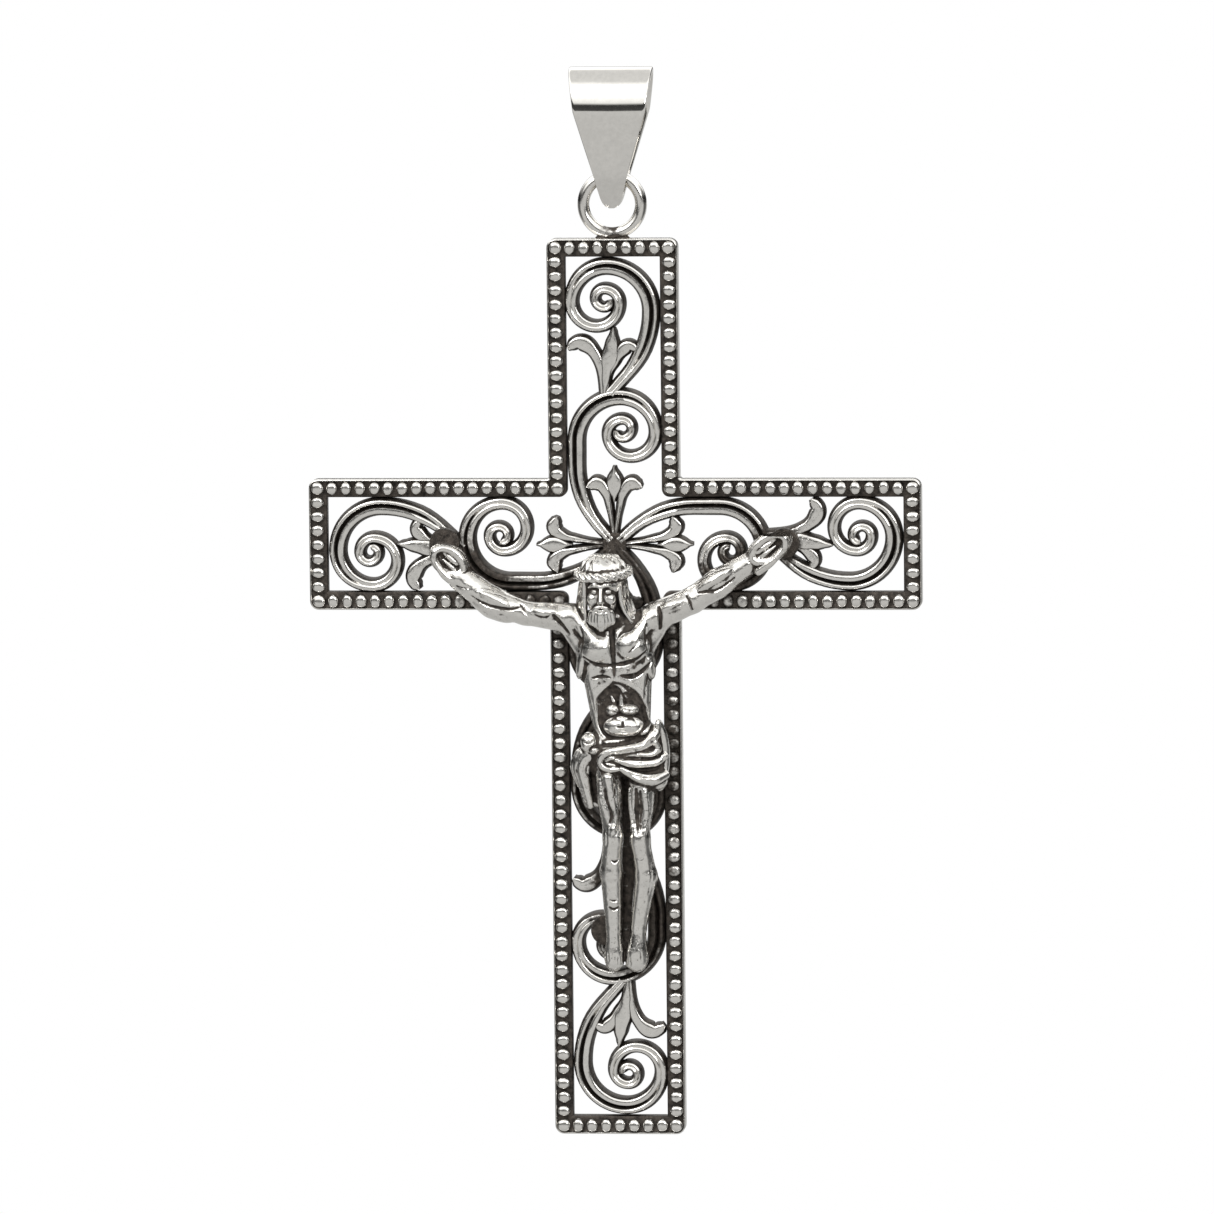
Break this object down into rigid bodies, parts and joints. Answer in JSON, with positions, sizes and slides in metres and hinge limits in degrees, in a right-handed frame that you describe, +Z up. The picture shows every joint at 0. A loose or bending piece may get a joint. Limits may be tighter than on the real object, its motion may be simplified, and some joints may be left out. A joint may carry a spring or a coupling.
{
  "type": "crucifix pendant",
  "caption": "Openwork cross pendant with a beaded rail, scroll and trefoil filling, a cast figure, and a ring hung from a folded bail that takes a neck chain.",
  "frame": {"origin": "inside top of the bail, where a chain bears", "axes": "+Z up along the hanging cross, front faces -Y, +X to the viewer's right"},
  "size_m": [0.048, 0.0083, 0.0838],
  "materials": {
    "polished_silver": "mirror polished, no patina",
    "ring_silver": "polished, dark in the solder joint",
    "bead_silver": "polished domes over dark patina",
    "antiqued_silver": "polished faces with oxidised walls and grooves",
    "dark_silver": "oxidised, satin",
    "cast_silver": "cast, tumbled highlights over dark patina"
  },
  "bodies": {
    "bail": {"bail": "polished_silver"},
    "cross": {"jump_ring": "ring_silver", "frame_rail": "dark_silver", "beads_top": "bead_silver", "beads_left": "bead_silver", "beads_right": "bead_silver", "beads_lower": "bead_silver", "scroll_top_inner": "antiqued_silver", "scroll_top_outer": "antiqued_silver", "scroll_left_inner": "antiqued_silver", "scroll_left_outer": "antiqued_silver", "scroll_right_inner": "antiqued_silver", "scroll_right_outer": "antiqued_silver", "scroll_lower_1": "antiqued_silver", "scroll_lower_2": "antiqued_silver", "scroll_lower_3": "antiqued_silver", "scroll_lower_4": "antiqued_silver", "sprig_top_inner": "antiqued_silver", "sprig_top_outer": "antiqued_silver", "sprig_left_inner": "antiqued_silver", "sprig_left_outer": "antiqued_silver", "sprig_right_inner": "antiqued_silver", "sprig_right_outer": "antiqued_silver", "sprig_lower_1": "antiqued_silver", "sprig_lower_2": "antiqued_silver", "sprig_lower_3": "antiqued_silver", "sprig_lower_4": "antiqued_silver", "centre_boss": "dark_silver", "seat_left_hand": "dark_silver", "seat_right_hand": "dark_silver", "seat_feet": "dark_silver", "corpus": "cast_silver"}
  },
  "joints": [
    {"name": "cross_swing", "type": "hinge", "parent": "bail", "child": "cross", "pos_m": [0, 0, -0.008], "axis": [1, 0, 0], "range_deg": [-120, 120]}
  ]
}
